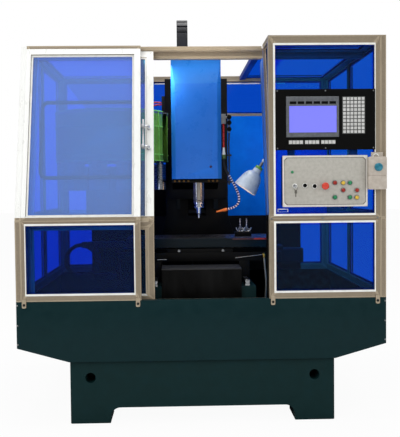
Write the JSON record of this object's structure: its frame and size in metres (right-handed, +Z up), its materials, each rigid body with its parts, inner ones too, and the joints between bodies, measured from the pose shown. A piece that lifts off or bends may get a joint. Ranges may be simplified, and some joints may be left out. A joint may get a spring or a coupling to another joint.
{
  "type": "cnc machining center",
  "caption": "Vertical machining center in a glazed enclosure with sliding door, tool magazine, slotted table and operator's panel, on a chip tray and footed base.",
  "frame": {"origin": "on the floor at the middle of the outline", "axes": "+Z up, +X to the operator's right, the operator stands on the -Y side"},
  "size_m": [2.1, 1.922, 2.48],
  "materials": {
    "casting_dark": "satin",
    "skirt_teal": "satin",
    "interior_black": "satin",
    "ground_steel": "satin",
    "motor_black": "matte",
    "frame_paint": "satin",
    "track_steel": "satin",
    "blue_glazing": "gloss",
    "bead_white": "satin",
    "cabinet_blue": "satin",
    "control_black": "satin",
    "screen": "gloss",
    "key_grey": "matte",
    "panel_steel": "satin",
    "pendant_grey": "satin",
    "magazine_green": "satin",
    "apron_rubber": "matte",
    "lamp_grey": "satin",
    "hose_rubber": "satin",
    "gasket_rubber": "matte",
    "rail_steel": "polished",
    "hose_pale": "satin",
    "table_steel": "satin",
    "chain_plastic": "satin",
    "head_iron": "satin",
    "cover_blue": "satin",
    "stop_red": "gloss",
    "dial_teal": "satin",
    "bulb_glass": "gloss",
    "button_red": "gloss",
    "button_yellow": "gloss",
    "button_green": "gloss"
  },
  "bodies": {
    "machine": {"base_casting": "casting_dark", "chip_tray": "skirt_teal", "column": "interior_black", "guide_rails": "ground_steel", "axis_motors": "motor_black", "front_frames": "frame_paint", "enclosure_frames": "frame_paint", "door_tracks": "track_steel", "enclosure_panes": "blue_glazing", "glazing_beads": "bead_white", "electrical_cabinet": "cabinet_blue", "rear_splash": "interior_black", "control_housing": "control_black", "display": "screen", "keypad": "key_grey", "operation_panel": "panel_steel", "pendant_box": "pendant_grey", "magazine_bracket": "motor_black", "magazine_cover": "magazine_green", "front_apron": "apron_rubber", "lamp_arm": "lamp_grey", "column_hose": "hose_rubber"},
    "door": {"door_frame": "frame_paint", "door_panes": "blue_glazing", "door_gasket": "gasket_rubber", "door_handle": "rail_steel"},
    "saddle": {"saddle": "interior_black", "x_motor": "motor_black", "drain_hose": "hose_pale", "table_chain": "chain_plastic"},
    "table": {"table": "table_steel", "clamp_set": "ground_steel"},
    "head": {"head_casting": "head_iron", "head_cover": "cover_blue", "spindle_motor": "motor_black", "coolant_block": "track_steel", "head_hoses": "hose_rubber", "head_chain": "chain_plastic"},
    "spindle": {"spindle": "ground_steel", "tool_holder": "ground_steel"},
    "x_screw": {"x_screw": "ground_steel"},
    "y_screw": {"y_screw": "ground_steel"},
    "z_screw": {"z_screw": "ground_steel"},
    "carousel": {"carousel": "track_steel", "magazine_tools": "ground_steel"},
    "emergency_stop": {"emergency_stop": "stop_red"},
    "key_switch": {"key_switch": "track_steel"},
    "selector_left": {"selector_left": "control_black"},
    "selector_right": {"selector_right": "control_black"},
    "pendant_dial": {"pendant_dial": "dial_teal"},
    "lamp": {"lamp_shade": "lamp_grey", "lamp_bulb": "bulb_glass"},
    "button_start_red": {"button_start_red": "button_red"},
    "button_start_yellow": {"button_start_yellow": "button_yellow"},
    "button_start_green": {"button_start_green": "button_green"},
    "button_axis_red": {"button_axis_red": "button_red"},
    "button_axis_dark_red": {"button_axis_dark_red": "button_red"},
    "button_cycle_green": {"button_cycle_green": "button_green"},
    "button_feed_green": {"button_feed_green": "button_green"},
    "button_hold_yellow": {"button_hold_yellow": "button_yellow"}
  },
  "joints": [
    {"name": "door_slide", "type": "slide", "parent": "machine", "child": "door", "axis": [1, 0, 0], "range_m": [0, 0.644]},
    {"name": "saddle_slide", "type": "slide", "parent": "machine", "child": "saddle", "axis": [0, 1, 0], "range_m": [-0.2, 0.2]},
    {"name": "table_slide", "type": "slide", "parent": "saddle", "child": "table", "axis": [1, 0, 0], "range_m": [-0.35, 0.35], "deforming": ["table_chain"]},
    {"name": "head_slide", "type": "slide", "parent": "machine", "child": "head", "axis": [0, 0, 1], "range_m": [-0.07, 0.43], "deforming": ["head_chain"]},
    {"name": "spindle_spin", "type": "hinge", "parent": "head", "child": "spindle", "pos_m": [0, -0.329, 1.3], "axis": [0, 0, 1], "continuous": true},
    {"name": "x_screw_spin", "type": "hinge", "parent": "saddle", "child": "x_screw", "pos_m": [0, -0.329, 0.96], "axis": [1, 0, 0], "continuous": true},
    {"name": "y_screw_spin", "type": "hinge", "parent": "machine", "child": "y_screw", "pos_m": [0, -0.329, 0.815], "axis": [0, 1, 0], "continuous": true},
    {"name": "z_screw_spin", "type": "hinge", "parent": "machine", "child": "z_screw", "pos_m": [0, 0.156, 1.5], "axis": [0, 0, 1], "continuous": true},
    {"name": "carousel_spin", "type": "hinge", "parent": "machine", "child": "carousel", "pos_m": [-0.55, -0.249, 1.53], "axis": [0, 0, 1], "continuous": true},
    {"name": "estop_push", "type": "slide", "parent": "machine", "child": "emergency_stop", "axis": [0, 1, 0], "range_m": [0, 0.004], "stiffness_N_per_m": 1500},
    {"name": "key_turn", "type": "hinge", "parent": "machine", "child": "key_switch", "pos_m": [0.527, -0.909, 1.346], "axis": [0, 1, 0], "range_deg": [0, 90]},
    {"name": "selector_left_turn", "type": "hinge", "parent": "machine", "child": "selector_left", "pos_m": [0.584, -0.909, 1.348], "axis": [0, 1, 0], "range_deg": [-45, 45]},
    {"name": "selector_right_turn", "type": "hinge", "parent": "machine", "child": "selector_right", "pos_m": [0.639, -0.909, 1.344], "axis": [0, 1, 0], "range_deg": [-45, 45]},
    {"name": "pendant_dial_spin", "type": "hinge", "parent": "machine", "child": "pendant_dial", "pos_m": [0.992, -0.947, 1.447], "axis": [0, 1, 0], "continuous": true},
    {"name": "lamp_tilt", "type": "hinge", "parent": "machine", "child": "lamp", "pos_m": [0.388, -0.589, 1.5], "axis": [0, 1, 0], "range_deg": [-20, 20]},
    {"name": "button_start_red_push", "type": "slide", "parent": "machine", "child": "button_start_red", "axis": [0, 1, 0], "range_m": [0, 0.004], "stiffness_N_per_m": 600},
    {"name": "button_start_yellow_push", "type": "slide", "parent": "machine", "child": "button_start_yellow", "axis": [0, 1, 0], "range_m": [0, 0.004], "stiffness_N_per_m": 600},
    {"name": "button_start_green_push", "type": "slide", "parent": "machine", "child": "button_start_green", "axis": [0, 1, 0], "range_m": [0, 0.004], "stiffness_N_per_m": 600},
    {"name": "button_axis_red_push", "type": "slide", "parent": "machine", "child": "button_axis_red", "axis": [0, 1, 0], "range_m": [0, 0.004], "stiffness_N_per_m": 600},
    {"name": "button_axis_dark_red_push", "type": "slide", "parent": "machine", "child": "button_axis_dark_red", "axis": [0, 1, 0], "range_m": [0, 0.004], "stiffness_N_per_m": 600},
    {"name": "button_cycle_green_push", "type": "slide", "parent": "machine", "child": "button_cycle_green", "axis": [0, 1, 0], "range_m": [0, 0.004], "stiffness_N_per_m": 600},
    {"name": "button_feed_green_push", "type": "slide", "parent": "machine", "child": "button_feed_green", "axis": [0, 1, 0], "range_m": [0, 0.004], "stiffness_N_per_m": 600},
    {"name": "button_hold_yellow_push", "type": "slide", "parent": "machine", "child": "button_hold_yellow", "axis": [0, 1, 0], "range_m": [0, 0.004], "stiffness_N_per_m": 600}
  ],
  "couplings": [
    {"joint": "x_screw_spin", "follows": "table_slide", "rad_per_m": 628.32},
    {"joint": "y_screw_spin", "follows": "saddle_slide", "rad_per_m": 628.32},
    {"joint": "z_screw_spin", "follows": "head_slide", "rad_per_m": 628.32}
  ]
}
